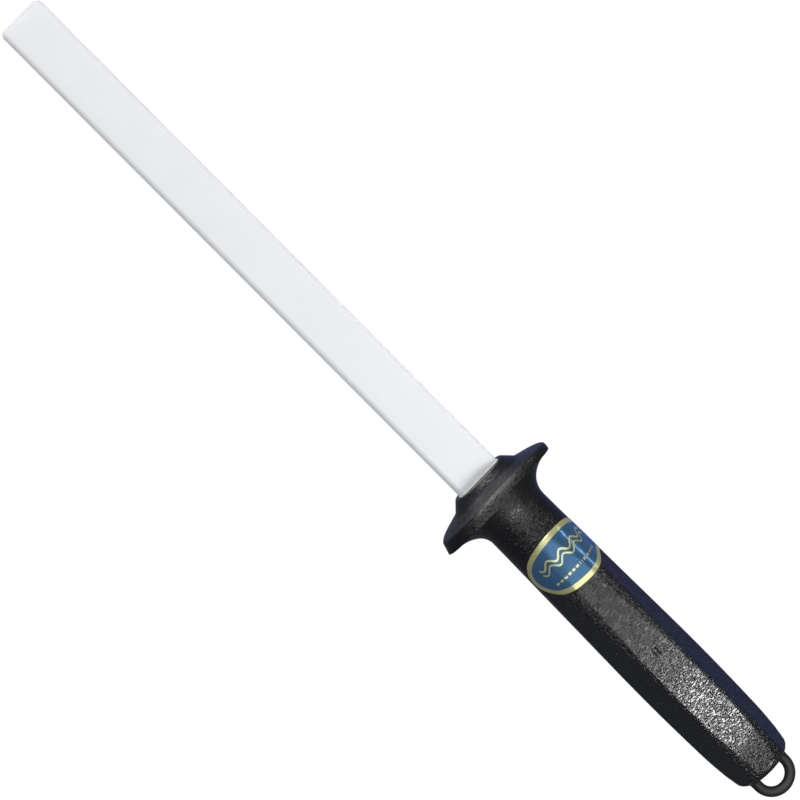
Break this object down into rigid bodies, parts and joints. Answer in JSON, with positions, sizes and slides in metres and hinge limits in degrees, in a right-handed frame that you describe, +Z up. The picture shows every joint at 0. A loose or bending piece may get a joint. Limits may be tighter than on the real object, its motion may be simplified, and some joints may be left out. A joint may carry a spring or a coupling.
{
  "type": "ceramic knife sharpening rod",
  "caption": "Flat ceramic honing bar with rounded edges, bonded into a black moulded handle with an oval guard, a six-sided grip, a hanging loop and an oval foil sticker.",
  "frame": {"origin": "bottom centre of the object's box, with the guard's lowest point on Z = 0", "axes": "+X along the long axis, from the rod's free end towards the hanging loop; +Z up, square to the rod's broad faces; the guard's wings lie along Y"},
  "size_m": [0.3828, 0.0524, 0.0312],
  "materials": {
    "ceramic": "matte",
    "adhesive": "satin",
    "grained_plastic": "satin",
    "plug_plastic": "satin",
    "foil": "gloss"
  },
  "bodies": {
    "root": {"ceramic_rod": "ceramic", "tang_adhesive": "adhesive", "handle_body": "grained_plastic", "end_plug": "plug_plastic", "label": "foil"}
  },
  "joints": []
}
